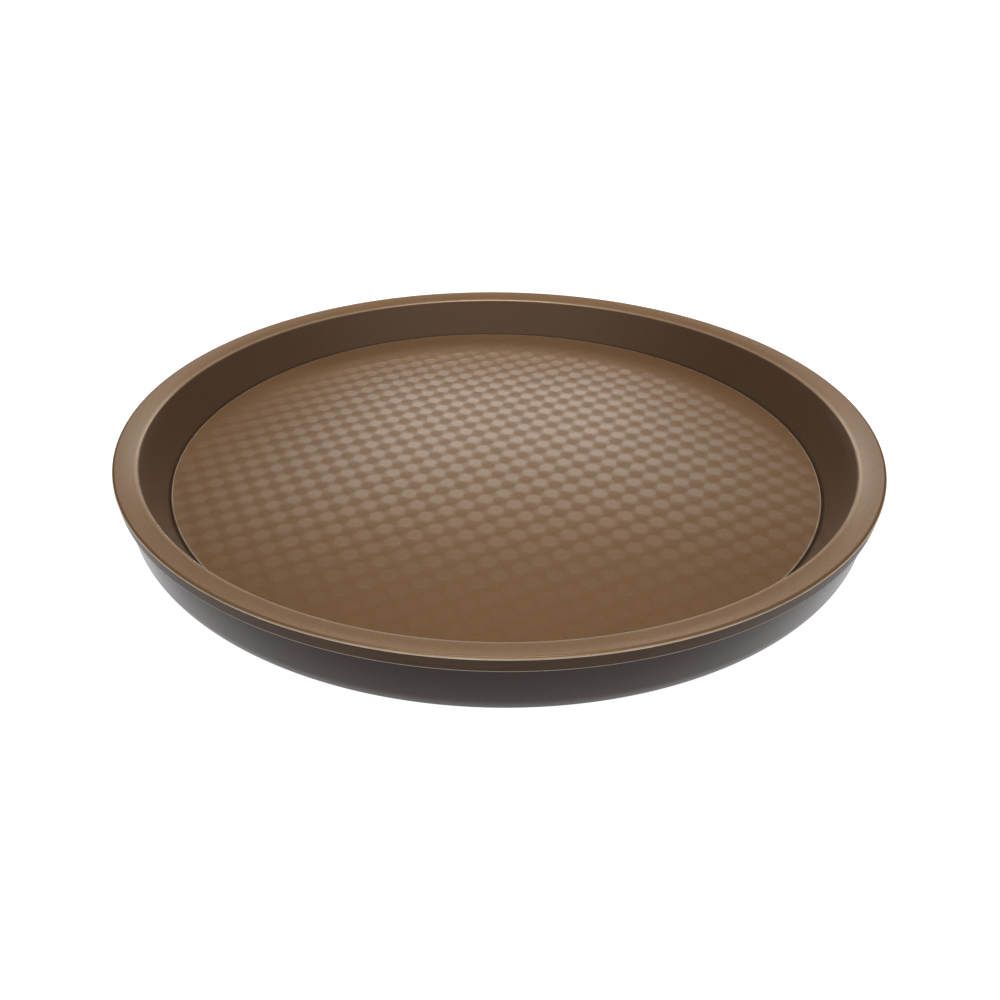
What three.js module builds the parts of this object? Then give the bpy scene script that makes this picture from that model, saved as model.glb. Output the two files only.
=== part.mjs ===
// Round baking tray with two skins and a loose base, in millimetres, +Z up.
// The origin is the middle of the foot, on the surface that the tray stands on.
//
// The inner ring is one sheet: skirt, rim, conical wall and the ledge that carries the base.
// The outer shell is a second sheet: its wall is pushed up inside the skirt, which grips it, and
// turns into the foot, a collar and a lip that lies under the ledge.

import * as THREE from 'three';

// Sheet metal
const SHEET = 0.8;            // thickness of ring and shell
const BASE_SHEET = 1.0;       // thickness of the loose base
const INSIDE_BEND = 0.6;      // inside radius of the tight bends

// Rim and skirt
const TRAY_RADIUS = 160;      // outermost edge of the rim
const RIM_WIDTH = 9.4;        // outermost edge in to the top of the conical wall
const RIM_SLOPE = 16;         // degrees that the rim falls towards the food
const RIM_BEAD = 1.0;         // inside radius of the bend from rim to wall
const RIM_FOLD = 0.2;         // inside radius of the fold from rim to skirt
const SKIRT_HEIGHT = 5.7;     // top of the rim down to the skirt's cut edge
const SKIRT_LEAN = 5.5;       // degrees from upright, leaning in at the bottom, also of the shell

// Inside of the tray
const FLOOR_DEPTH = 20.2;     // top of the rim down to the upper face of the base
const WALL_LEAN = 25.5;       // degrees from upright, leaning out at the rim
const LEDGE_WIDTH = 7;        // seat under the edge of the base
const BASE_CHAMFER = 0.25;    // broken upper edge of the base

// Outer shell
const SHELL_CORNER = 8.8;     // outside radius from wall to foot
const FOOT_RECESS = 4.5;      // from the table up to the lip
const LIP_WIDTH = 4;          // lip under the ledge, measured from the collar

// Clearances
const HEM_GAP = 0.3;          // ring to shell, behind the skirt and under the rim
const SEAT_GAP = 0.3;         // base to ledge, and ledge to lip
const BASE_CLEARANCE = 0.4;   // edge of the base to the foot of the wall

// Faceting
const SEGMENTS = 80;          // facets round the tray
const BEND_STEP = 24;         // degrees of bend for each facet

const { degToRad } = THREE.MathUtils;
const rimSlope = degToRad(RIM_SLOPE);
const skirtLean = degToRad(SKIRT_LEAN);
const wallLean = degToRad(WALL_LEAN);

// Heights, stacked up from the table
const lipTop = FOOT_RECESS + SHEET;
const ledgeTop = lipTop + SEAT_GAP + SHEET;
const baseUnder = ledgeTop + SEAT_GAP;
const baseTop = baseUnder + BASE_SHEET;
const trayTop = baseTop + FLOOR_DEPTH;
const skirtEdge = trayTop - SKIRT_HEIGHT;

// Fold at the rim's outer edge, which touches both the tray's radius and its top
const rimBend = RIM_FOLD + SHEET;
const rimBendRadius = TRAY_RADIUS - rimBend;
const rimBendHeight = trayTop - rimBend;

// Height of the sloped rim at a radius, at a depth below its upper face
function rimHeight(radius, depth) {
  const rise = (rimBend - depth) / Math.cos(rimSlope);
  return rimBendHeight + rise + (radius - rimBendRadius) * Math.tan(rimSlope);
}

// Radius of the leaning skirt at a height, at a depth behind its outer face; the shell is parallel to it
function skirtRadius(height, depth) {
  const reach = (rimBend - depth) / Math.cos(skirtLean);
  return rimBendRadius + reach + (height - rimBendHeight) * Math.tan(skirtLean);
}

// Radii, worked in from the rim
const rimInner = TRAY_RADIUS - RIM_WIDTH;
const rimInnerHeight = rimHeight(rimInner, 0);
const wallFoot = rimInner - (rimInnerHeight - ledgeTop) * Math.tan(wallLean);
const ledgeInner = wallFoot - LEDGE_WIDTH;
const collarRadius = ledgeInner + LIP_WIDTH;
const baseRadius = wallFoot - BASE_CLEARANCE;

// A corner of a sheet's face: radius from the axis, height, and radius of the bend there
function corner(radius, height, bend = 0) {
  return { at: new THREE.Vector2(radius, height), bend };
}

// Points of one bend, where the lines to the corners before and after it are tangent to its arc
function bendPoints(before, { at, bend }, after) {
  const back = before.clone().sub(at);
  const ahead = after.clone().sub(at);
  const room = Math.min(back.length(), ahead.length());
  back.normalize();
  ahead.normalize();
  const turn = Math.PI - Math.acos(back.dot(ahead));
  const reach = Math.min(bend * Math.tan(turn / 2), room);
  const radius = reach / Math.tan(turn / 2);
  const start = at.clone().addScaledVector(back, reach);
  const middle = back.clone().add(ahead).normalize();
  const centre = at.clone().addScaledVector(middle, radius / Math.cos(turn / 2));
  const side = Math.sign(ahead.cross(back));
  const steps = Math.ceil(THREE.MathUtils.radToDeg(turn) / BEND_STEP);
  return Array.from({ length: steps + 1 }, (_, step) =>
    start.clone().rotateAround(centre, (side * turn * step) / steps));
}

// The face of a sheet as an open line of points, with its bends as arcs
function facePath(corners) {
  return corners.flatMap((here, index) => {
    if (here.bend === 0) return [here.at];
    return bendPoints(corners[index - 1].at, here, corners[index + 1].at);
  });
}

// A line moved to its left by a distance, so that each stretch keeps that distance
function offsetLeft(path, distance) {
  const leftOf = (from, to) => new THREE.Vector2(from.y - to.y, to.x - from.x).normalize();
  return path.map((point, index) => {
    const before = leftOf(path[Math.max(index - 1, 0)], path[Math.max(index, 1)]);
    const last = path.length - 1;
    const after = leftOf(path[Math.min(index, last - 1)], path[Math.min(index + 1, last)]);
    const mitre = before.clone().add(after).divideScalar(1 + before.dot(after));
    return point.clone().addScaledVector(mitre, distance);
  });
}

// A turned piece from an outline that runs anticlockwise, seen with the radius to the right and height up
function turned(name, outline, look) {
  const geometry = new THREE.LatheGeometry(outline, SEGMENTS);
  const mesh = new THREE.Mesh(geometry, new THREE.MeshStandardMaterial(look));
  mesh.name = name;
  mesh.rotation.x = Math.PI / 2;
  return mesh;
}

// A turned sheet whose outer face has the given corners, with the sheet to the left of that face
function turnedSheet(name, corners, look) {
  const face = facePath(corners);
  const hiddenFace = offsetLeft(face, SHEET).reverse();
  return turned(name, [...face, ...hiddenFace, face[0].clone()], look);
}

// Where the planes of rim and skirt would meet if the bend between them were sharp
function rimCorner() {
  const halfTurn = (Math.PI / 2 + rimSlope + skirtLean) / 2;
  const direction = (Math.PI / 2 + rimSlope - skirtLean) / 2;
  const reach = rimBend / Math.cos(halfTurn);
  return corner(
    rimBendRadius + reach * Math.cos(direction),
    rimBendHeight + reach * Math.sin(direction),
    rimBend,
  );
}

function innerRing() {
  const corners = [
    corner(skirtRadius(skirtEdge, 0), skirtEdge),
    rimCorner(),
    corner(rimInner, rimInnerHeight, RIM_BEAD + SHEET),
    corner(wallFoot, ledgeTop, INSIDE_BEND),
    corner(ledgeInner, ledgeTop),
  ];
  return turnedSheet('inner_ring', corners, { color: 0x76593f, roughness: 0.4, metalness: 0.6 });
}

function outerShell() {
  const depth = SHEET + HEM_GAP;
  const topInner = rimBendRadius - depth;
  const top = rimHeight(topInner, depth);
  const corners = [
    corner(ledgeInner, FOOT_RECESS),
    corner(collarRadius, FOOT_RECESS, INSIDE_BEND),
    corner(collarRadius, 0, INSIDE_BEND + SHEET),
    corner(skirtRadius(0, depth), 0, SHELL_CORNER),
    corner(skirtRadius(top, depth), top),
  ];
  return turnedSheet('outer_shell', corners, { color: 0x40383a, roughness: 0.3, metalness: 0.5 });
}

function looseBase() {
  const outline = [
    new THREE.Vector2(0, baseUnder),
    new THREE.Vector2(baseRadius, baseUnder),
    new THREE.Vector2(baseRadius, baseTop - BASE_CHAMFER),
    new THREE.Vector2(baseRadius - BASE_CHAMFER, baseTop),
    new THREE.Vector2(0, baseTop),
  ];
  return turned('loose_base', outline, { color: 0x7a5c42, roughness: 0.45, metalness: 0.6 });
}

const tray = new THREE.Group();
tray.add(innerRing(), outerShell(), looseBase());

export default tray;
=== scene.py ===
import math

import bpy
import numpy as np
from mathutils import Matrix, Vector
from mathutils.geometry import delaunay_2d_cdt


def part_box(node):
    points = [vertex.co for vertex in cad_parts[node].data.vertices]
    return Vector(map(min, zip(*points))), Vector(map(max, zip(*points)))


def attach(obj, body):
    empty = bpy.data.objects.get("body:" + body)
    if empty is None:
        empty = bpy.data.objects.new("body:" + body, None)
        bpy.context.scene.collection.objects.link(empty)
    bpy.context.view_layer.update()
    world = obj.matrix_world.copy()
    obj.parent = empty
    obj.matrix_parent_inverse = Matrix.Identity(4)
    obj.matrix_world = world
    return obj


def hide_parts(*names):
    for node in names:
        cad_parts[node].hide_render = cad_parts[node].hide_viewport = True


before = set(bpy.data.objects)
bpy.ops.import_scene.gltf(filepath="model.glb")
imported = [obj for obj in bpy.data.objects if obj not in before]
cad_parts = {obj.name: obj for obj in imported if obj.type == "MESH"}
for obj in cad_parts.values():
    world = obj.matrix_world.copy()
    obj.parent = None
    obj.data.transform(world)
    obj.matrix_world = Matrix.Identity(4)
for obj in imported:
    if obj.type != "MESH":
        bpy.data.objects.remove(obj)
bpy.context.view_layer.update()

# Round baking tray: a bronze ring whose skirt grips a dark outer shell, and a loose base with pressed dots.
# Lengths are in metres, radii are measured from the tray's axis and heights from the table.

MM = 0.001

# Sheet metal
SHEET = 0.8 * MM              # thickness of ring and shell
INSIDE_BEND = 0.6 * MM        # inside radius of the tight bends
CUT_ROUND = 0.3 * MM          # rounding of the sheared edges
RIM_SLOPE = math.radians(16)  # mean fall of the rim towards the food
RIM_CROWN = math.radians(2.5)  # how much flatter the rim is at its outer edge and steeper at its inner one
RIM_BEAD = 1.0 * MM           # inside radius of the bend from rim to wall
RIM_FOLD = 0.2 * MM           # inside radius of the fold from rim to skirt
SKIRT_HEIGHT = 5.7 * MM       # top of the rim down to the skirt's cut edge
SKIRT_LEAN = math.radians(5.5)  # from upright, also of the shell
WALL_LEAN = math.radians(25.5)  # from upright
LEDGE_WIDTH = 7 * MM          # seat under the edge of the base
LIP_WIDTH = 4 * MM            # shell's lip under the ledge, measured from its collar
SHELL_CORNER = 8.8 * MM       # outside radius from the shell's wall to its foot
SEAT_GAP = 0.3 * MM           # ledge to lip
HEM_GAP = 0.3 * MM            # ring to shell
BASE_CLEARANCE = 0.4 * MM     # edge of the base to the foot of the wall
BASE_ROLL = 0.3 * MM          # rounding of the base's edge

# Pressed dots of the base: a lattice of flat dimples, with a dome in the middle of each four
DOT_PITCH = (8.96 * MM, 9.37 * MM)  # along the lattice's two directions
DOT_TURN = (math.radians(26.8), math.radians(-66.3))  # of those directions from +X
DOT_START = (-0.3 * MM, -32.35 * MM)  # centre of one dot
DOT_FLAT = 2.9 * MM           # radius of the flat bottom
DOT_EDGE = 3.5 * MM           # radius where the steep edge ends
DOT_STEP = 0.018 * MM         # height of the steep edge
DOT_DOME = 0.05 * MM          # rise of the sheet from the edge to the middle of four dots
DOT_REACH = 6.5 * MM          # radius where the rise ends
NEAR_DOTS = 4                 # dots along each direction that can reach a place

# Fineness of the meshes
SEGMENTS = 360                # faces round the ring and the shell
BEND_STEP = math.radians(6)   # turn of a bend for each face
LEAST_STEPS = 5               # faces of the slightest bend
SUPPORT = 0.25 * MM           # extra points beside each bend, which keep the straight stretches flat
LONG_STRETCH = 4 * SUPPORT    # length above which a stretch has such points
DOT_POINTS = 16               # points on a circle round a dot
DOT_CIRCLES = (               # radii of those circles
    DOT_FLAT - SUPPORT,
    DOT_FLAT,
    (DOT_FLAT + DOT_EDGE) / 2,
    DOT_EDGE,
    DOT_EDGE + 0.3 * MM,
    (DOT_EDGE + DOT_REACH) / 2,
)
BUMP_POINTS = 10              # points on a circle round a bump of the underside
BUMP_CIRCLES = (DOT_FLAT, DOT_EDGE + 0.2 * MM)
EDGE_POINTS = 900             # points round the edge of the base
ROLL_TURNS = np.radians((-20, 0, 30, 60))  # circles of points along the rounding of that edge
EDGE_MARGIN = 0.3 * MM        # between the dots' points and the edge's
OVERLAP = 0.05 * MM           # how far a dot's circle may run into the next dot
SAME_RADIUS = 0.001 * MM      # tolerance for points on one circle
SAME_PLACE = 1e-9             # points closer than this are merged
WHOLE_HULL = 0                # triangles fill the hull of all points

# Coatings, each between a dark and a light tone
RING_TONES = ((0.250, 0.134, 0.056, 1), (0.290, 0.162, 0.073, 1))
BASE_TONES = ((0.235, 0.125, 0.054, 1), (0.265, 0.147, 0.068, 1))
SHELL_TONES = ((0.034, 0.018, 0.014, 1), (0.046, 0.025, 0.020, 1))
RING_DULLNESS = 0.42
BASE_DULLNESS = 0.5
SHELL_DULLNESS = 0.25
BRONZE_GLOSS = {"Metallic": 0.3, "Specular IOR Level": 0.15, "Coat Roughness": 0.14}
SHELL_GLOSS = {"Metallic": 0.3, "Specular IOR Level": 0.5}
CLOUD_SIZE = 45 * MM
CLOUD_DETAIL = 3
CLOUD_RANGE = (0.1, 0.9)      # noise that runs from the dark to the light tone
CLOUD_DULLNESS = 0.06         # change of the dullness, either way
GRAIN_SIZE = 0.7 * MM
GRAIN_SHARES = (-1.6, 2.6)    # of the light tone, past 0 and 1 so that the grains are crisp
GRAIN_WEIGHT = 0.6            # of the grain in the colour; the clouds have the rest
PEEL_SIZE = 1.6 * MM          # of the waves in the sprayed coat
RELIEF_DEPTH = 0.02 * MM      # of grain and waves
RELIEF_STRENGTH = 0.2

# Finish of the ring: a dull wall with painted shade, a glossier rim, a skirt with drawing lines and painted
# shade, a bead with rubbing and painted highlight, a fold with painted highlight, rubbing on the lip, and
# painted shade at the foot of the wall
# painted shade: the inner wall's tone is darker and cooler than the rest of the coating
WALL_SHADE_TINT = (0.69, 0.77, 1.08, 1)
# lighter tone of the bead: rubbed coating and painted highlight
BEAD_RUB_AND_HIGHLIGHT_TONE = (0.42, 0.29, 0.18, 1)
# painted highlight: light tone of the fold, which with metal and low dullness shines as a line
FOLD_HIGHLIGHT_TONE = (0.86, 0.70, 0.54, 1)
# painted shade: dark tone of the skirt
SKIRT_SHADE_TONE = (0.060, 0.035, 0.021, 1)
LIP_TONE = (0.62, 0.47, 0.34, 1)
# painted shade: dark tone at the foot of the wall
CREASE_SHADE_TONE = (0.03, 0.017, 0.009, 1)  # at the foot of the wall
CREASE_SHADE_SHARE = 0.35
# patches of rubbing on bead and lip and of painted highlight on bead and fold
RUB_AND_HIGHLIGHT_SIZE = 9 * MM
RUB_AND_HIGHLIGHT_LEAST = 0.7
DRAW_SIZE = 14 * MM           # length of the skirt's drawing lines
DRAW_STRETCH = (1, 1, 40)     # how many times finer they are upwards
DRAW_LEAST = 0.85
COATED_METAL = 0.3
BARE_METAL = 0.95             # of fold and skirt
FOLD_DULLNESS = 0.22
RIM_COAT = 0.5
WALL_COAT = 0.06
SKIRT_COAT = 0.18

# Finish of the base: polished dots, made paler by painted sheen, duller ridges and domes between them, and
# an edge lightened by wear and painted highlight
# painted sheen: the dots a little paler
DOT_SHEEN_TINT = (1.05, 1.05, 1.05, 1)
DOT_COAT = 0.63
RIDGE_COAT = 0.38             # between two dots
DOME_COAT = 0.17              # between four dots
DOME_RADII = (2.6 * MM, 3.2 * MM)  # where the dull middle of a dome ends
# lighter tone along the base's edge: wear and painted highlight
WORN_AND_HIGHLIGHT_TONE = (0.55, 0.45, 0.36, 1)
WORN_AND_HIGHLIGHT_SIZE = 6 * MM
WORN_AND_HIGHLIGHT_LEAST = 0.55

# Bare cut edges of the sheets
CUT_TONES = ((0.42, 0.36, 0.30, 1), (0.66, 0.60, 0.53, 1))
CUT_DULLNESS = (0.3, 0.45)
CUT_MARKS = 0.3 * MM
CUT_DETAIL = 3

# Camera, fitted to the ellipses of rim, floor and skirt in a square picture
CAMERA_AIM = Vector((-18.7, 0, -21.6)) * MM
CAMERA_DISTANCE = 383.2 * MM
CAMERA_ELEVATION = math.radians(32.5)
CAMERA_ROLL = math.radians(-0.95)
CAMERA_FOCUS = 0.7997         # focal length as a share of the picture's width
CAMERA_SHIFT = 0.0491
CAMERA_SENSOR = 36            # in millimetres
CAMERA_SIGHT = 500

# Table: a glow beside the tray, shade under it, and its even white away from it
FLOOR_HALF = 200
FLOOR_GREY = (0.3, 0.3, 0.3, 1)
FLOOR_DULLNESS = 0.7
FLOOR_GLOW = 1.0
FLOOR_WHITE = 0.45
GLOW_RADII = (160 * MM, 170 * MM)
SHADE_RADII = (152 * MM, 158 * MM)
SHADE = 0.1

# Lights: a soft one overhead, a warm panel behind the tray, and a low strip farther behind
OVERHEAD_PLACE = (0, 0, 2)
OVERHEAD_ENERGY = 1.6
OVERHEAD_ANGLE = math.radians(30)
PANEL_PLACE = (0.085, 1.0, 0.65)
PANEL_SIZE = (1.8, 0.48)
PANEL_ENERGY = 9.8
PANEL_COLOUR = (1, 0.95, 0.89)
PANEL_SPREAD = (0.12, 0.45)   # half of the lit width at the panel's foot and top, as a share of its width
PANEL_SIDES = (0.4, 1.6)      # shares of that half between which the light fades sideways
PANEL_TOP = (0.2, 1)          # shares of the height between which it fades upwards
STRIP_PLACE = (0, 2.0, 0.07)
STRIP_SIZE = (2.4, 0.09)
STRIP_ENERGY = 3.4
WHITE = (1, 1, 1, 1)

# Room that the tray reflects
ROOM_FRONT = 0.5              # light from in front of the tray
ROOM_BACK = 0.04              # light from elsewhere
ROOM_TURN = (-0.75, -0.25)    # Y of the direction where the one gives way to the other

# Sizes that the frame gives
ring_low, ring_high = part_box("inner_ring")
shell_low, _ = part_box("outer_shell")
base_low, base_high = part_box("loose_base")
ledge_top = ring_low.z + SHEET
skirt_edge = ring_high.z - SKIRT_HEIGHT
rim_bend = RIM_FOLD + SHEET
rim_bend_radius = ring_high.x - rim_bend
rim_bend_height = ring_high.z - rim_bend
base_radius = base_high.x
wall_foot = base_radius + BASE_CLEARANCE
ledge_inner = wall_foot - LEDGE_WIDTH

# Stretches of the finish, as the two radii or heights between which each one fades in or out
bead_inner = 150.25 * MM      # radii of the bend between wall and rim
bead_outer = 151.35 * MM
wall_end = (bead_inner, bead_inner + 0.4 * MM)
bead_start = (bead_inner + 0.2 * MM, bead_inner + 0.5 * MM)
bead_end = (bead_outer - 0.2 * MM, bead_outer + 0.9 * MM)
rim_end = (ring_high.x - 0.8 * MM, ring_high.x - 0.5 * MM)
fold_start = (ring_high.x - 0.36 * MM, ring_high.x - 0.22 * MM)
skirt_inside = (ring_high.x - 2.0 * MM, ring_high.x - 1.6 * MM)
skirt_top = (ring_high.z - 0.92 * MM, ring_high.z - 0.77 * MM)
lip_top = (skirt_edge + 0.3 * MM, skirt_edge + 0.4 * MM)
crease_top = (base_high.z, base_high.z + 0.7 * MM)
# edge of the base: wear and painted highlight
worn_and_highlit_edge = (base_radius - 0.6 * MM, base_radius - 0.4 * MM)


# Outlines of turned sheets

def rim_height(radius, depth):
    """Height of the straight rim at a radius, at a depth below its upper face."""
    rise = (rim_bend - depth) / math.cos(RIM_SLOPE)
    return rim_bend_height + rise + (radius - rim_bend_radius) * math.tan(RIM_SLOPE)


def skirt_radius(height, depth):
    """Radius of the leaning skirt at a height, at a depth behind its outer face."""
    reach = (rim_bend - depth) / math.cos(SKIRT_LEAN)
    return rim_bend_radius + reach + (height - rim_bend_height) * math.tan(SKIRT_LEAN)


def unit(vector):
    return vector / np.linalg.norm(vector)


def left_of(start, end):
    """Direction to the left of a line."""
    along = unit(end - start)
    return np.array((-along[1], along[0]))


def bend_points(before, at, after, radius):
    """Points of one rounded corner, tangent to the lines to the corners before and after it."""
    back = unit(before - at)
    ahead = unit(after - at)
    turn = math.pi - math.acos(back @ ahead)
    start = at + back * radius * math.tan(turn / 2)
    centre = at + unit(back + ahead) * radius / math.cos(turn / 2)
    side = math.copysign(turn, ahead[0] * back[1] - ahead[1] * back[0])
    steps = max(math.ceil(turn / BEND_STEP), LEAST_STEPS)
    angles = np.linspace(0, side, steps + 1)
    arm = start - centre
    across = np.array((-arm[1], arm[0]))
    return centre + np.outer(np.cos(angles), arm) + np.outer(np.sin(angles), across)


def hidden_corners(face):
    """Corners of a sheet's other face, to the left of the given one, with their bends."""
    points = [np.array(corner[:2]) for corner in face]
    lefts = [left_of(a, b) for a, b in zip(points, points[1:])]
    corners = []
    for index, (point, corner) in enumerate(zip(points, face)):
        before = lefts[max(index - 1, 0)]
        after = lefts[min(index, len(lefts) - 1)]
        at = point + (before + after) / (1 + before @ after) * SHEET
        turns_left = before[0] * after[1] - before[1] * after[0] > 0
        corners.append((*at, corner[2] + (-SHEET if turns_left else SHEET)))
    return corners


def cut_corner(corner):
    """The corner at a sheared edge, with that edge's rounding."""
    return (*corner[:2], CUT_ROUND)


def sheet_outline(face):
    """Closed outline of a sheet from the corners (radius, height, bend) of one face, and which of its
    stretches are sheared edges."""
    hidden = hidden_corners(face)
    loop = [
        cut_corner(face[0]), *face[1:-1], cut_corner(face[-1]),
        cut_corner(hidden[-1]), *hidden[-2:0:-1], cut_corner(hidden[0]),
    ]
    points, owners = [], []
    for index, corner in enumerate(loop):
        before, at, after = (np.array(loop[k % len(loop)][:2]) for k in (index - 1, index, index + 1))
        arc = bend_points(before, at, after, corner[2])
        points.extend(arc)
        owners.extend([index] * len(arc))
    far_cut = len(face) - 1
    cut_ends = ({far_cut, far_cut + 1}, {0, len(loop) - 1})
    cut = [any({a, b} <= ends for ends in cut_ends) for a, b in zip(owners, owners[1:] + owners[:1])]
    return add_support(points, cut)


def add_support(points, cut):
    """Splits each long stretch of an outline close to its two ends."""
    out, out_cut = [], []
    for start, end, is_cut in zip(points, points[1:] + points[:1], cut):
        places = [start]
        if np.linalg.norm(end - start) > LONG_STRETCH:
            along = unit(end - start)
            places += [start + along * SUPPORT, end - along * SUPPORT]
        out += places
        out_cut += [is_cut] * len(places)
    return np.array(out), np.array(out_cut)


# Meshes

def circle(radius, count):
    """Points evenly round a circle."""
    angles = np.linspace(0, 2 * math.pi, count, endpoint=False)
    return radius * np.column_stack((np.cos(angles), np.sin(angles)))


def new_piece(name, points, faces, slots=None):
    mesh = bpy.data.meshes.new(name)
    mesh.from_pydata(points, [], faces)
    mesh.shade_smooth()
    if slots is not None:
        mesh.polygons.foreach_set("material_index", np.asarray(slots, np.int32))
    mesh.update()
    piece = bpy.data.objects.new(name, mesh)
    bpy.context.scene.collection.objects.link(piece)
    return piece


def turned(name, outline, cut):
    """A closed outline turned about the axis; faces of its sheared edges use the second material."""
    count = len(outline)
    points = np.empty((SEGMENTS, count, 3))
    points[..., :2] = circle(1, SEGMENTS)[:, None, :] * outline[None, :, :1]
    points[..., 2] = outline[:, 1]
    here = np.arange(SEGMENTS)[:, None] * count
    there = np.roll(here, -1, axis=0)
    low = np.arange(count)[None, :]
    high = np.roll(low, -1, axis=1)
    faces = np.stack((here + low, there + low, there + high, here + high), axis=-1).reshape(-1, 4)
    return new_piece(name, points.reshape(-1, 3).tolist(), faces.tolist(), np.tile(cut, SEGMENTS))


# Ring

def fold_corner():
    """Where the rim's flatter outer half and the skirt would meet without the fold between them."""
    slope = RIM_SLOPE - RIM_CROWN
    half_turn = (math.pi / 2 + slope + SKIRT_LEAN) / 2
    direction = (math.pi / 2 + slope - SKIRT_LEAN) / 2
    reach = rim_bend / math.cos(half_turn)
    return (
        rim_bend_radius + reach * math.cos(direction),
        rim_bend_height + reach * math.sin(direction),
        rim_bend,
    )


def bead_corner():
    """Where the straight rim and the wall would meet without the bead between them."""
    slope = math.tan(RIM_SLOPE)
    lean = math.tan(WALL_LEAN)
    radius = (wall_foot + (rim_height(0, 0) - ledge_top) * lean) / (1 - slope * lean)
    return radius, rim_height(radius, 0), RIM_BEAD + SHEET


def crown_corner(outer, inner):
    """Where the two halves of the rim would meet, with a bend that leaves room for fold and bead."""
    outer_slope = math.tan(RIM_SLOPE - RIM_CROWN)
    inner_slope = math.tan(RIM_SLOPE + RIM_CROWN)
    rise = outer[1] - inner[1] - (outer[0] - inner[0]) * outer_slope
    radius = inner[0] + rise / (inner_slope - outer_slope)
    height = inner[1] + (radius - inner[0]) * inner_slope
    room = min(radius - inner[0], rim_bend_radius - radius) - RIM_BEAD - SHEET
    return radius, height, room / math.tan(RIM_CROWN)


def make_ring():
    """Skirt, crowned rim, wall and ledge, from one sheet."""
    outer = fold_corner()
    inner = bead_corner()
    face = [
        (skirt_radius(skirt_edge, 0), skirt_edge, 0),
        outer,
        crown_corner(outer, inner),
        inner,
        (wall_foot, ledge_top, INSIDE_BEND),
        (ledge_inner, ledge_top, 0),
    ]
    return turned("ring", *sheet_outline(face))


# Shell

def make_shell():
    """Lip, collar, foot and wall, from one sheet."""
    lip_under = ring_low.z - SEAT_GAP - SHEET
    collar = ledge_inner + LIP_WIDTH
    depth = SHEET + HEM_GAP
    top = rim_height(rim_bend_radius - depth, depth)
    face = [
        (ledge_inner, lip_under, 0),
        (collar, lip_under, INSIDE_BEND),
        (collar, shell_low.z, INSIDE_BEND + SHEET),
        (skirt_radius(shell_low.z, depth), shell_low.z, SHELL_CORNER),
        (skirt_radius(top, depth), top, 0),
    ]
    return turned("shell", *sheet_outline(face))


# Base

dot_start = np.array(DOT_START)
dot_steps = np.array([
    (pitch * math.cos(turn), pitch * math.sin(turn)) for pitch, turn in zip(DOT_PITCH, DOT_TURN)
])
dot_counts = np.linalg.inv(dot_steps)


def to_lattice(places):
    """Places counted in steps of the dots' lattice, where dots have whole numbers."""
    return (places - dot_start) @ dot_counts


def on_base(numbers):
    """Places on the base from numbers of steps of the dots' lattice."""
    return dot_start + numbers @ dot_steps


def dot_centres():
    """Centres of all dots that reach onto the base."""
    count = math.ceil(2 * base_radius / min(DOT_PITCH))
    steps = np.arange(-count, count + 1)
    first, second = np.meshgrid(steps, steps)
    centres = on_base(np.column_stack((first.ravel(), second.ravel())))
    return centres[np.hypot(*centres.T) < base_radius + DOT_REACH]


def pressed(places):
    """Depth of the sheet below its highest level at each place."""
    corner = np.floor(to_lattice(places))
    depth = np.zeros(len(places))
    for step in np.ndindex(NEAR_DOTS, NEAR_DOTS):
        centre = on_base(corner + np.array(step) - 1)
        distance = np.hypot(*(places - centre).T)
        edge = np.clip((DOT_EDGE - distance) / (DOT_EDGE - DOT_FLAT), 0, 1)
        rise = np.clip((DOT_REACH - distance) / (DOT_REACH - DOT_EDGE), 0, 1)
        depth += DOT_STEP * edge * edge * (3 - 2 * edge) + DOT_DOME * rise * rise
    return np.minimum(depth, DOT_STEP + DOT_DOME)


def dotted_places(radii, count, edge_radii):
    """Points on circles round every dot, kept to the dot that is nearest, and on circles along the edge."""
    centres = dot_centres()
    places = [centres]
    for radius in radii:
        round_all = (centres[:, None] + circle(radius, count)[None]).reshape(-1, 2)
        nearest = on_base(np.round(to_lattice(round_all)))
        own = np.hypot(*(round_all - nearest).T) > radius - OVERLAP
        places.append(round_all[own])
    middles = centres + dot_steps.sum(axis=0) / 2
    places = np.vstack([*places, middles])
    places = places[np.hypot(*places.T) < min(edge_radii) - EDGE_MARGIN]
    return np.vstack([places, *(circle(radius, EDGE_POINTS) for radius in edge_radii)])


def triangulated(places):
    """The places as points of a flat net, and its triangles."""
    vectors = [Vector(place) for place in places.tolist()]
    points, _, triangles, *_ = delaunay_2d_cdt(vectors, [], [], WHOLE_HULL, SAME_PLACE)
    return np.array(points), np.array(triangles)


def edge_order(places):
    """Numbers of the outermost points, anticlockwise."""
    outermost = np.flatnonzero(np.hypot(*places.T) > base_radius - SAME_RADIUS)
    return outermost[np.argsort(np.arctan2(places[outermost, 1], places[outermost, 0]))]


def rolled(places):
    """Depth of the rounded edge below the base's upper face at each place."""
    inset = np.clip(np.hypot(*places.T) - (base_radius - BASE_ROLL), 0, BASE_ROLL)
    return BASE_ROLL - np.sqrt(BASE_ROLL ** 2 - inset ** 2)


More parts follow.
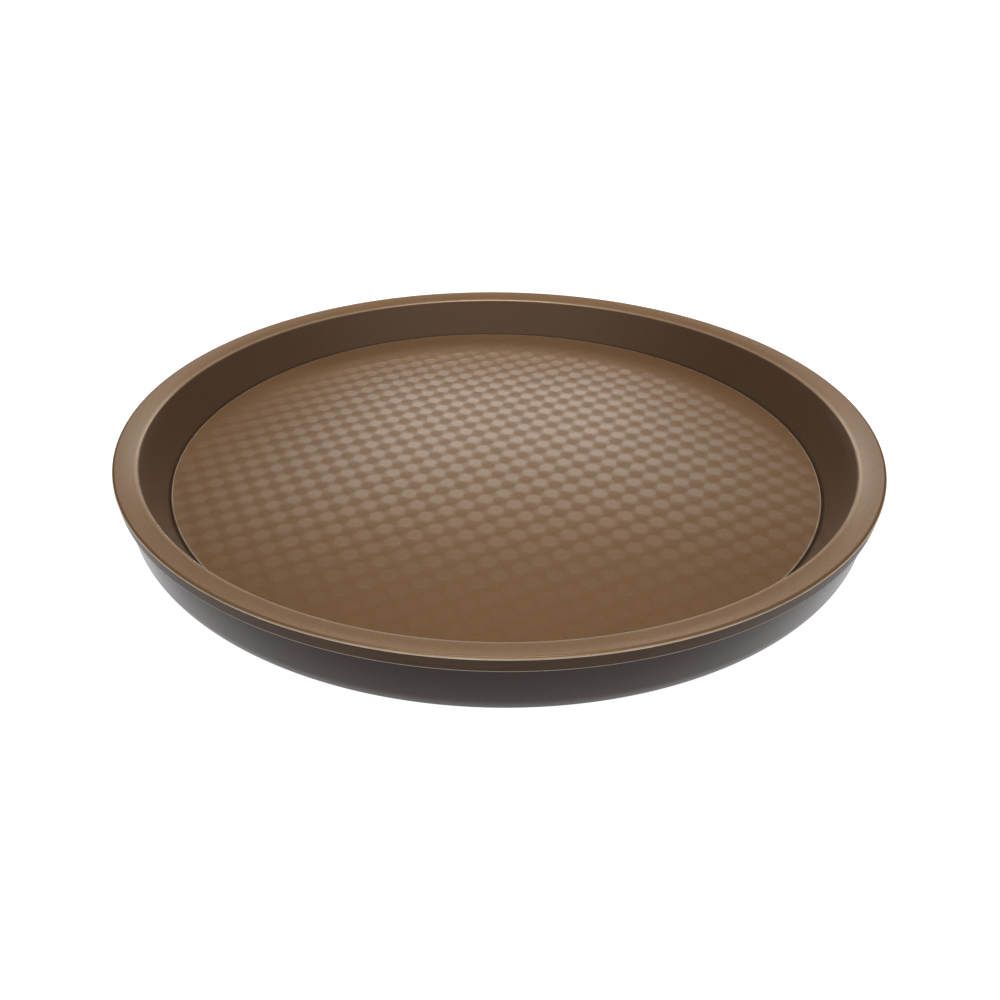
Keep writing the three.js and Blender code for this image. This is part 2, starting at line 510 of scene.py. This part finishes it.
def make_base():
    """The loose base: a pressed sheet whose dimples also show as bumps underneath."""
    thickness = base_high.z - base_low.z - DOT_STEP - DOT_DOME
    roll_radii = [base_radius - BASE_ROLL * (1 - math.sin(turn)) for turn in ROLL_TURNS]
    top_places = dotted_places(DOT_CIRCLES, DOT_POINTS, [*roll_radii, base_radius])
    top_places, top_faces = triangulated(top_places)
    under_places = dotted_places(BUMP_CIRCLES, BUMP_POINTS, [base_radius])
    under_places, under_faces = triangulated(under_places)
    top_height = base_high.z - pressed(top_places) - rolled(top_places)
    under_height = base_high.z - thickness - pressed(under_places)
    top = np.column_stack((top_places, top_height))
    under = np.column_stack((under_places, under_height))
    top_edge = edge_order(top_places)
    under_edge = edge_order(under_places) + len(top)
    sides = np.column_stack((top_edge, under_edge, np.roll(under_edge, -1), np.roll(top_edge, -1)))
    points = np.vstack((top, under)).tolist()
    faces = top_faces.tolist() + (under_faces[:, ::-1] + len(top)).tolist() + sides.tolist()
    return new_piece("base", points, faces)


# Shader nodes

def add(tree, kind, inputs=None, **settings):
    """A node with its settings, and its inputs given as values or as sockets to link."""
    made = tree.nodes.new(kind)
    for name, value in settings.items():
        setattr(made, name, value)
    for name, value in (inputs or {}).items():
        if isinstance(value, bpy.types.NodeSocket):
            tree.links.new(value, made.inputs[name])
        else:
            made.inputs[name].default_value = value
    return made


def maths(tree, operation, first, second=0.0):
    return add(tree, "ShaderNodeMath", {0: first, 1: second}, operation=operation).outputs[0]


def product(tree, first, *others):
    for other in others:
        first = maths(tree, "MULTIPLY", first, other)
    return first


def vector_maths(tree, operation, inputs, output="Vector"):
    return add(tree, "ShaderNodeVectorMath", inputs, operation=operation).outputs[output]


def noise(tree, place, size, detail=2.0):
    """Noise whose blotches are about the given size."""
    made = add(tree, "ShaderNodeTexNoise", {"Vector": place, "Scale": 1 / size, "Detail": detail})
    return made.outputs["Fac"]


def spread(tree, value, low, high, start=0.3, end=0.7, **settings):
    """Maps a value from start..end, by default the usual range of noise, to low..high."""
    made = add(tree, "ShaderNodeMapRange", {
        "Value": value, "From Min": start, "From Max": end, "To Min": low, "To Max": high,
    }, **settings)
    return made.outputs["Result"]


def blend_colour(tree, share, first, second, way="MIX"):
    made = add(tree, "ShaderNodeMix", {0: share, 6: first, 7: second}, data_type="RGBA", blend_type=way)
    return made.outputs[2]


def from_axis(tree, place):
    """Distance from the tray's axis."""
    flat = vector_maths(tree, "MULTIPLY", {0: place, 1: (1, 1, 0)})
    return vector_maths(tree, "LENGTH", {0: flat}, "Value")


def from_lattice(tree, place, shift):
    """Distance from the nearest point of the dots' lattice, shifted by a share of its steps."""
    start = Vector((*DOT_START, 0)) + shift * Vector((*dot_steps.sum(axis=0), 0))
    local = vector_maths(tree, "SUBTRACT", {0: place, 1: start})
    arms = []
    for step, count in zip(dot_steps, dot_counts.T):
        steps = vector_maths(tree, "DOT_PRODUCT", {0: local, 1: (*count, 0)}, "Value")
        rest = maths(tree, "SUBTRACT", steps, maths(tree, "ROUND", steps))
        arms.append(vector_maths(tree, "SCALE", {0: (*step, 0), "Scale": rest}))
    arm = vector_maths(tree, "ADD", {0: arms[0], 1: arms[1]})
    return vector_maths(tree, "LENGTH", {0: arm}, "Value")


# Materials

def new_material(name):
    material = bpy.data.materials.new(name)
    material.use_nodes = True
    return material


def insides(material):
    """Nodes and shader of a material, and the place on the piece."""
    tree = material.node_tree
    place = add(tree, "ShaderNodeTexCoord").outputs["Object"]
    return tree, tree.nodes["Principled BSDF"], place


def fed_by(shader, name):
    """The socket that is linked to one of the shader's inputs."""
    return shader.inputs[name].links[0].from_socket


def coated(name, tones, roughness, gloss):
    """Sprayed coating with fine grain and faint clouds."""
    material = new_material(name)
    tree, shader, place = insides(material)
    clouds = noise(tree, place, CLOUD_SIZE, CLOUD_DETAIL)
    grain = noise(tree, place, GRAIN_SIZE)
    peel = noise(tree, place, PEEL_SIZE)
    clouded = blend_colour(tree, spread(tree, clouds, 0, 1, *CLOUD_RANGE), *tones)
    grained = blend_colour(tree, spread(tree, grain, *GRAIN_SHARES), *tones)
    tree.links.new(blend_colour(tree, GRAIN_WEIGHT, clouded, grained), shader.inputs["Base Color"])
    shiniest = roughness - CLOUD_DULLNESS
    dullest = roughness + CLOUD_DULLNESS
    tree.links.new(spread(tree, clouds, shiniest, dullest, *CLOUD_RANGE), shader.inputs["Roughness"])
    relief = add(tree, "ShaderNodeBump", {
        "Height": maths(tree, "ADD", grain, peel), "Strength": RELIEF_STRENGTH, "Distance": RELIEF_DEPTH,
    })
    tree.links.new(relief.outputs["Normal"], shader.inputs["Normal"])
    for socket, value in gloss.items():
        shader.inputs[socket].default_value = value
    return material


def ring_zones(tree, place):
    """Shares of the ring's stretches at a place, with patches of rubbing on bead and lip and of painted
    highlight on bead and fold; the skirt and the foot of the wall carry painted shade.
    """
    radius = from_axis(tree, place)
    height = add(tree, "ShaderNodeSeparateXYZ", {0: place}).outputs["Z"]
    rub_and_highlight_patches = spread(tree, noise(tree, place, RUB_AND_HIGHLIGHT_SIZE), RUB_AND_HIGHLIGHT_LEAST, 1)
    below_fold = spread(tree, height, 1, 0, *skirt_top)
    above_skirt = maths(tree, "SUBTRACT", 1, below_fold)
    outer = spread(tree, radius, 0, 1, *skirt_inside)
    past_wall = spread(tree, radius, 0, 1, *bead_start)
    before_rim = spread(tree, radius, 1, 0, *bead_end)
    return {
        "crease_shade": spread(tree, height, CREASE_SHADE_SHARE, 0, *crease_top),
        "wall": spread(tree, radius, 1, 0, *wall_end),
        "bead": product(tree, past_wall, before_rim, rub_and_highlight_patches),
        "inside_fold": spread(tree, radius, 1, 0, *rim_end),
        "fold": product(tree, spread(tree, radius, 0, 1, *fold_start), above_skirt, rub_and_highlight_patches),
        "skirt": product(tree, below_fold, outer),
        "lip": product(tree, spread(tree, height, 1, 0, *lip_top), outer, rub_and_highlight_patches),
    }


def finish_ring(material):
    """Gives each stretch of the ring its own tone, metal and gloss: painted shade on wall, skirt and foot
    of the wall, painted highlight on fold and bead, rubbing on bead and lip.
    """
    tree, shader, place = insides(material)
    zones = ring_zones(tree, place)
    drawn = vector_maths(tree, "MULTIPLY", {0: place, 1: DRAW_STRETCH})
    lines = spread(tree, noise(tree, drawn, DRAW_SIZE), DRAW_LEAST, 1)
    # painted shade: the wall's tone is darkened and cooled
    colour = blend_colour(tree, zones["wall"], fed_by(shader, "Base Color"), WALL_SHADE_TINT, "MULTIPLY")
    for share, tone in (
        # bead: rubbed coating and painted highlight
        (zones["bead"], BEAD_RUB_AND_HIGHLIGHT_TONE),
        # fold: painted highlight
        (zones["fold"], FOLD_HIGHLIGHT_TONE),
        # skirt: painted shade, streaked by drawing lines
        (product(tree, zones["skirt"], lines), SKIRT_SHADE_TONE),
        (zones["lip"], LIP_TONE),
        # painted shade at the foot of the wall
        (zones["crease_shade"], CREASE_SHADE_TONE),
    ):
        colour = blend_colour(tree, share, colour, tone)
    tree.links.new(colour, shader.inputs["Base Color"])
    bare = maths(tree, "MAXIMUM", zones["fold"], zones["skirt"])
    tree.links.new(spread(tree, bare, COATED_METAL, BARE_METAL, 0, 1), shader.inputs["Metallic"])
    dullness = spread(tree, zones["fold"], fed_by(shader, "Roughness"), FOLD_DULLNESS, 0, 1)
    tree.links.new(dullness, shader.inputs["Roughness"])
    inner_coat = product(tree, spread(tree, zones["wall"], RIM_COAT, WALL_COAT, 0, 1), zones["inside_fold"])
    coat = maths(tree, "ADD", inner_coat, product(tree, zones["skirt"], SKIRT_COAT))
    tree.links.new(coat, shader.inputs["Coat Weight"])


def polish_dots(material):
    """Polishes the dots most and the domes between four dots least, and makes the dots paler: painted
    sheen.
    """
    tree, shader, place = insides(material)
    flat = spread(tree, from_lattice(tree, place, 0), 1, 0, DOT_FLAT, DOT_EDGE)
    dot = product(tree, flat, DOT_COAT)
    ridge = spread(tree, from_lattice(tree, place, 0.5), DOME_COAT, RIDGE_COAT, *DOME_RADII)
    tree.links.new(maths(tree, "MAXIMUM", dot, ridge), shader.inputs["Coat Weight"])
    # painted sheen: paler dots
    paler = blend_colour(tree, flat, fed_by(shader, "Base Color"), DOT_SHEEN_TINT, "MULTIPLY")
    tree.links.new(paler, shader.inputs["Base Color"])


def wear_and_highlight_edge(material):
    """Lightens the base's edge in patches: wear of the coating and painted highlight."""
    tree, shader, place = insides(material)
    edge = spread(tree, from_axis(tree, place), 0, 1, *worn_and_highlit_edge)
    patches = spread(tree, noise(tree, place, WORN_AND_HIGHLIGHT_SIZE), WORN_AND_HIGHLIGHT_LEAST, 1)
    worn_and_highlit = product(tree, edge, patches)
    # wear and painted highlight along the edge
    colour = blend_colour(tree, worn_and_highlit, fed_by(shader, "Base Color"), WORN_AND_HIGHLIGHT_TONE)
    tree.links.new(colour, shader.inputs["Base Color"])


def ring_bronze():
    material = coated("ring_bronze", RING_TONES, RING_DULLNESS, BRONZE_GLOSS)
    finish_ring(material)
    return material


def base_bronze():
    material = coated("base_bronze", BASE_TONES, BASE_DULLNESS, BRONZE_GLOSS)
    polish_dots(material)
    wear_and_highlight_edge(material)
    return material


def shell_dark():
    return coated("shell_dark", SHELL_TONES, SHELL_DULLNESS, SHELL_GLOSS)


def sheared_metal():
    """Bare cut edge of the sheet, with fine marks."""
    material = new_material("sheared_metal")
    tree, shader, place = insides(material)
    marks = noise(tree, place, CUT_MARKS, CUT_DETAIL)
    tree.links.new(blend_colour(tree, marks, *CUT_TONES), shader.inputs["Base Color"])
    tree.links.new(spread(tree, marks, *CUT_DULLNESS), shader.inputs["Roughness"])
    shader.inputs["Metallic"].default_value = 1
    return material


def dress(piece, body, node, slot, *materials):
    for material in materials:
        piece.data.materials.append(material)
    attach(piece, body)
    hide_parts(node)


# Stage

def make_camera():
    data = bpy.data.cameras.new("camera")
    data.sensor_width = CAMERA_SENSOR
    data.lens = CAMERA_FOCUS * data.sensor_width
    data.shift_x = CAMERA_SHIFT
    data.clip_end = CAMERA_SIGHT
    camera = bpy.data.objects.new("camera", data)
    bpy.context.scene.collection.objects.link(camera)
    forward = Vector((0, math.cos(CAMERA_ELEVATION), -math.sin(CAMERA_ELEVATION)))
    level = Vector((1, 0, 0))
    right = Matrix.Rotation(-CAMERA_ROLL, 3, forward) @ level
    up = right.cross(forward)
    turn = Matrix((right, up, -forward)).transposed().to_4x4()
    camera.matrix_world = Matrix.Translation(CAMERA_AIM - forward * CAMERA_DISTANCE) @ turn
    bpy.context.scene.camera = camera


def make_floor():
    """A white table that is lit from within, most beside the tray and least under it."""
    half = FLOOR_HALF
    corners = [(-half, -half, 0), (half, -half, 0), (half, half, 0), (-half, half, 0)]
    floor = new_piece("floor", corners, [(0, 1, 2, 3)])
    material = new_material("pale_floor")
    tree, shader, place = insides(material)
    radius = from_axis(tree, place)
    beside = spread(tree, radius, FLOOR_GLOW, FLOOR_WHITE, *GLOW_RADII)
    glow = product(tree, beside, spread(tree, radius, SHADE, 1, *SHADE_RADII))
    seen = add(tree, "ShaderNodeLightPath").outputs["Is Camera Ray"]
    shader.inputs["Base Color"].default_value = FLOOR_GREY
    shader.inputs["Roughness"].default_value = FLOOR_DULLNESS
    shader.inputs["Emission Color"].default_value = WHITE
    tree.links.new(spread(tree, seen, glow, 1, 0, 1), shader.inputs["Emission Strength"])
    floor.data.materials.append(material)
    floor.visible_diffuse = False


def make_light(name, kind, place, aim, **settings):
    data = bpy.data.lights.new(name, kind)
    for setting, value in settings.items():
        setattr(data, setting, value)
    light = bpy.data.objects.new(name, data)
    bpy.context.scene.collection.objects.link(light)
    light.location = place
    light.rotation_mode = "QUATERNION"
    light.rotation_quaternion = (Vector(aim) - Vector(place)).to_track_quat("-Z", "Y")
    light.visible_camera = False
    return light


def make_panel(name, place, size, **settings):
    """An upright panel behind the tray that faces it."""
    x, _, z = place
    width, height = size
    return make_light(
        name, "AREA", place, (x, 0, z), shape="RECTANGLE", size=width, size_y=height, **settings,
    )


def fade_panel(light):
    """Lets a panel fade upwards and to both sides."""
    light.data.use_nodes = True
    tree = light.data.node_tree
    place = add(tree, "ShaderNodeNewGeometry").outputs["Parametric"]
    parts = add(tree, "ShaderNodeSeparateXYZ", {0: place})
    up = parts.outputs["Y"]
    aside = maths(tree, "ABSOLUTE", maths(tree, "SUBTRACT", parts.outputs["X"], 0.5))
    half_width = spread(tree, up, *PANEL_SPREAD, 0, 1)
    sideways = maths(tree, "DIVIDE", aside, half_width)
    middle = spread(tree, sideways, 1, 0, *PANEL_SIDES, interpolation_type="SMOOTHSTEP")
    low = spread(tree, up, 1, 0, *PANEL_TOP, interpolation_type="SMOOTHSTEP")
    tree.links.new(product(tree, middle, low), tree.nodes["Emission"].inputs["Strength"])


def make_lights():
    make_light(
        "overhead", "SUN", OVERHEAD_PLACE, (0, 0, 0), energy=OVERHEAD_ENERGY, angle=OVERHEAD_ANGLE,
    )
    panel = make_panel("back_panel", PANEL_PLACE, PANEL_SIZE, energy=PANEL_ENERGY, color=PANEL_COLOUR)
    fade_panel(panel)
    make_panel("low_strip", STRIP_PLACE, STRIP_SIZE, energy=STRIP_ENERGY)


def make_world():
    """A dim room for the reflections, lighter in front of the tray, and a white background."""
    world = bpy.data.worlds.new("studio")
    bpy.context.scene.world = world
    world.use_nodes = True
    tree = world.node_tree
    tree.nodes.clear()
    towards = add(tree, "ShaderNodeTexCoord").outputs["Generated"]
    depth = add(tree, "ShaderNodeSeparateXYZ", {0: towards}).outputs["Y"]
    light = spread(tree, depth, ROOM_FRONT, ROOM_BACK, *ROOM_TURN)
    room = add(tree, "ShaderNodeBackground", {"Strength": light, "Color": WHITE})
    white = add(tree, "ShaderNodeBackground", {"Color": WHITE})
    seen = add(tree, "ShaderNodeLightPath").outputs["Is Camera Ray"]
    both = add(tree, "ShaderNodeMixShader", {0: seen, 1: room.outputs[0], 2: white.outputs[0]})
    add(tree, "ShaderNodeOutputWorld", {"Surface": both.outputs[0]})


make_camera()
ring = make_ring()
shell = make_shell()
base = make_base()

bronze = ring_bronze()
dotted_bronze = base_bronze()
dark_coat = shell_dark()
bare = sheared_metal()

dress(ring, "tray", "inner_ring", "ring_coating", bronze, bare)
dress(shell, "tray", "outer_shell", "shell_coating", dark_coat, bare)
dress(base, "base", "loose_base", "base_coating", dotted_bronze)

make_floor()
make_lights()
make_world()
bpy.context.scene.view_settings.view_transform = "Standard"
